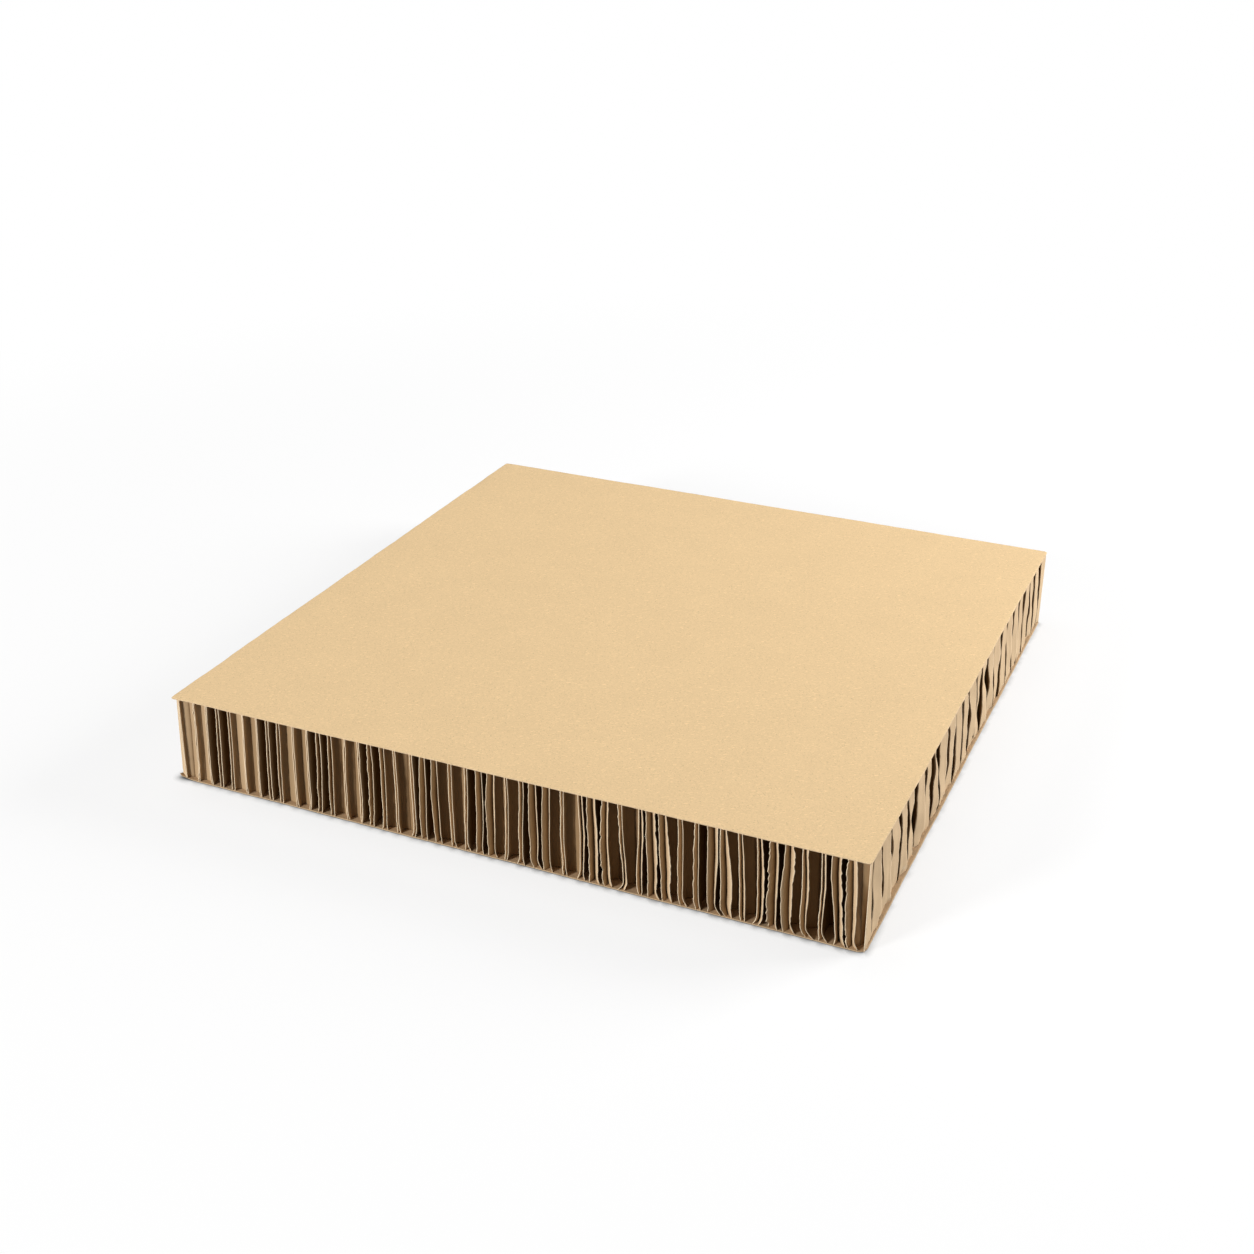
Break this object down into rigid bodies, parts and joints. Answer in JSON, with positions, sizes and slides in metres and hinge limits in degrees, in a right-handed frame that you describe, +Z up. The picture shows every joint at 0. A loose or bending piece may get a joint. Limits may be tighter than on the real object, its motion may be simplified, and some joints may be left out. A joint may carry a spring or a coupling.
{
  "type": "honeycomb board",
  "caption": "Square paper honeycomb board: two flat kraft liners glued on a core of upright folded paper webs, with sawn edges that show the cells.",
  "frame": {"origin": "middle of the bottom face", "axes": "+X along the front edge to the right, +Y into the depth along the core's webs, +Z up"},
  "size_m": [0.5, 0.5, 0.064],
  "materials": {
    "liner": "smooth unbleached kraft paper, matt",
    "web": "rough unbleached kraft paper, matt, with torn pale edges"
  },
  "bodies": {
    "root": {"bottom_liner": "liner", "right_edge_web": "web", "top_liner": "liner", "web_pair_01": "web", "web_pair_02": "web", "web_pair_03": "web", "web_pair_04": "web", "web_pair_05": "web", "web_pair_06": "web", "web_pair_07": "web", "web_pair_08": "web", "web_pair_09": "web", "web_pair_10": "web", "web_pair_11": "web", "web_pair_12": "web", "web_pair_13": "web", "web_pair_14": "web", "web_pair_15": "web", "web_pair_16": "web", "web_pair_17": "web", "web_pair_18": "web", "web_pair_19": "web", "web_pair_20": "web", "web_pair_21": "web", "web_pair_22": "web", "web_pair_23": "web", "web_pair_24": "web", "web_pair_25": "web", "web_pair_26": "web", "web_pair_27": "web", "web_pair_28": "web", "web_pair_29": "web", "web_pair_30": "web", "web_pair_31": "web", "web_pair_32": "web", "web_pair_33": "web", "web_pair_34": "web", "web_pair_35": "web", "web_pair_36": "web", "web_pair_37": "web", "web_pair_38": "web", "web_pair_39": "web", "web_pair_40": "web", "web_pair_41": "web", "web_pair_42": "web", "web_pair_43": "web", "web_pair_44": "web", "web_pair_45": "web", "web_pair_46": "web", "web_pair_47": "web", "web_pair_48": "web", "web_pair_49": "web"}
  },
  "joints": []
}
